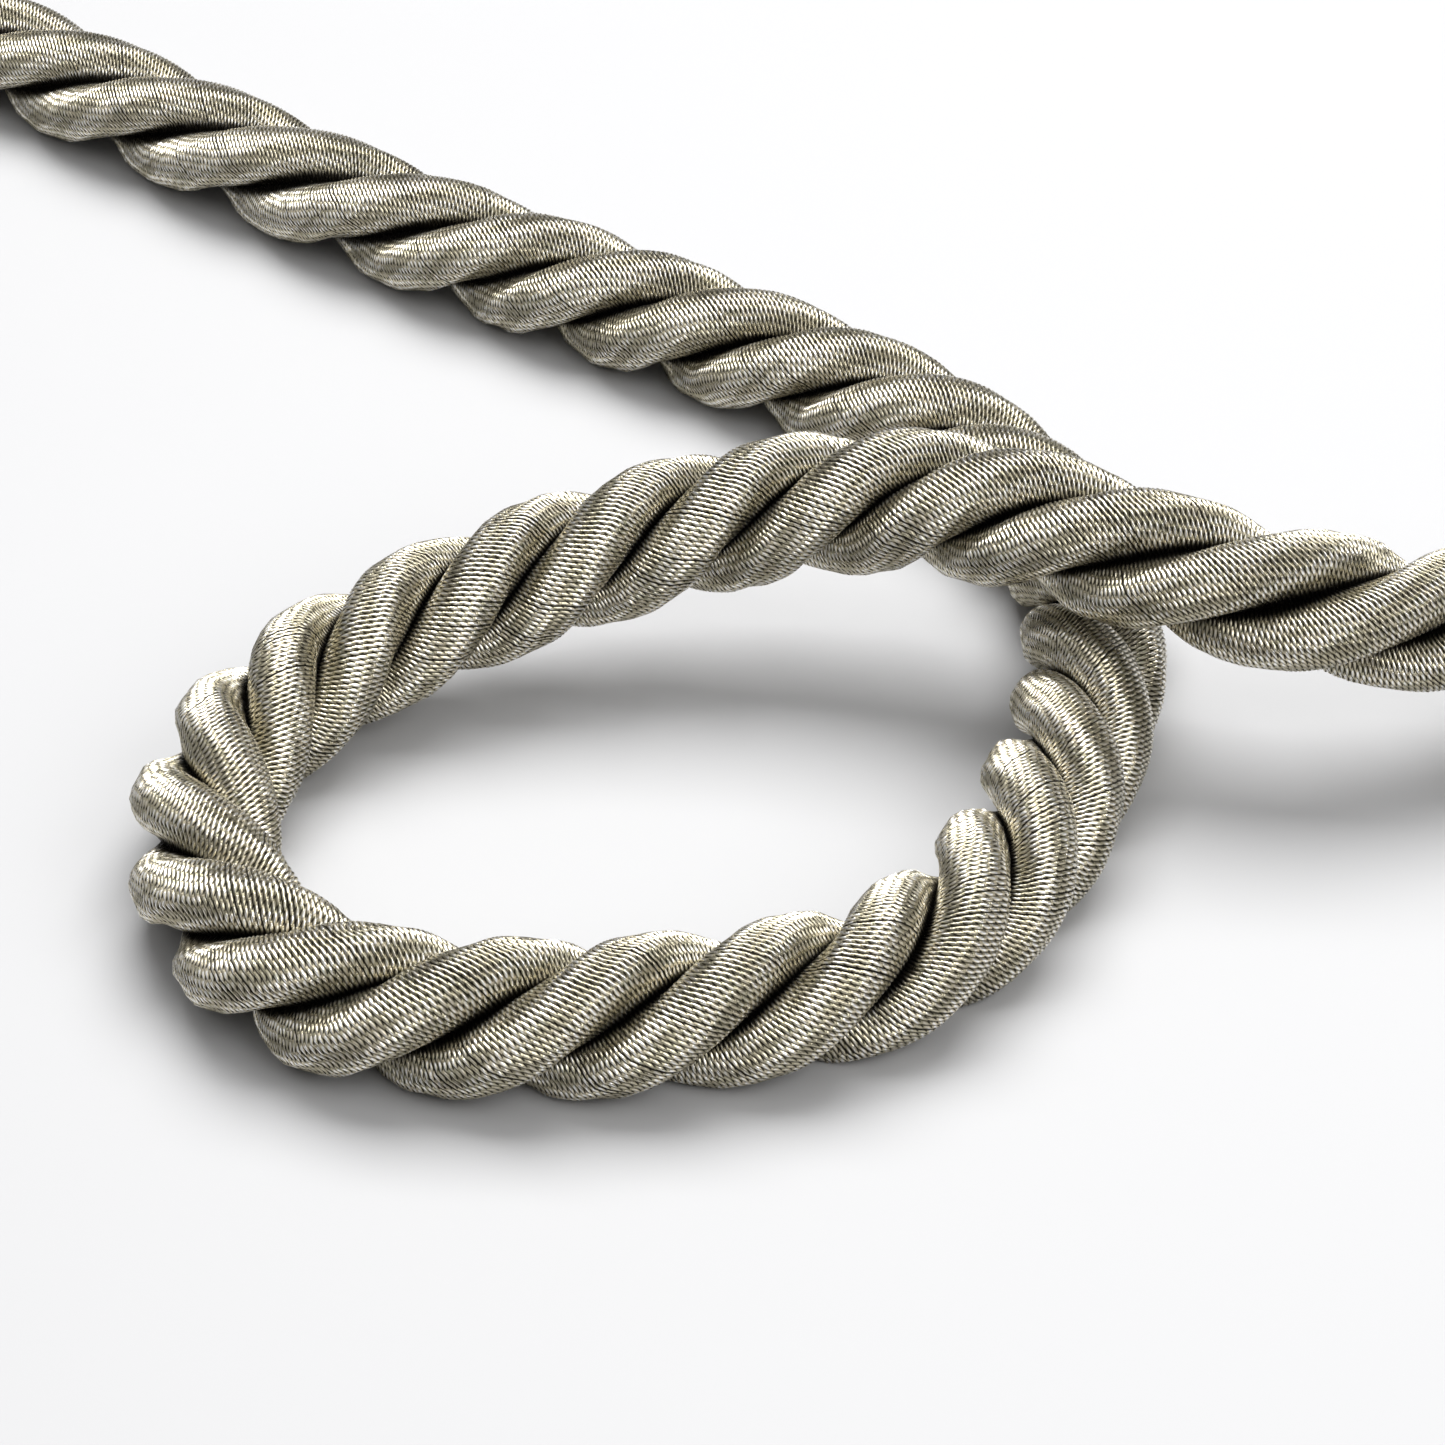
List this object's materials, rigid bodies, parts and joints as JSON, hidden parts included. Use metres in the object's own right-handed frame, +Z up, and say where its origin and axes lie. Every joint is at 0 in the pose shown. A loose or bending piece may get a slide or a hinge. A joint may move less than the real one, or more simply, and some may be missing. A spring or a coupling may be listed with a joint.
{
  "type": "twisted cord trim",
  "caption": "Thick twisted cord trim wound in champagne-silver metallic thread, a short cut length lying in an open loop that passes over itself.",
  "frame": {"origin": "centre of the footprint on the table, at table height", "axes": "+Z up, +X along the loop towards the right arm, +Y towards the far arm"},
  "size_m": [0.1388, 0.1254, 0.0158],
  "materials": {
    "metallic_thread": "metallic"
  },
  "bodies": {
    "root": {"strand_1": "metallic_thread", "strand_2": "metallic_thread", "strand_3": "metallic_thread"}
  },
  "joints": []
}
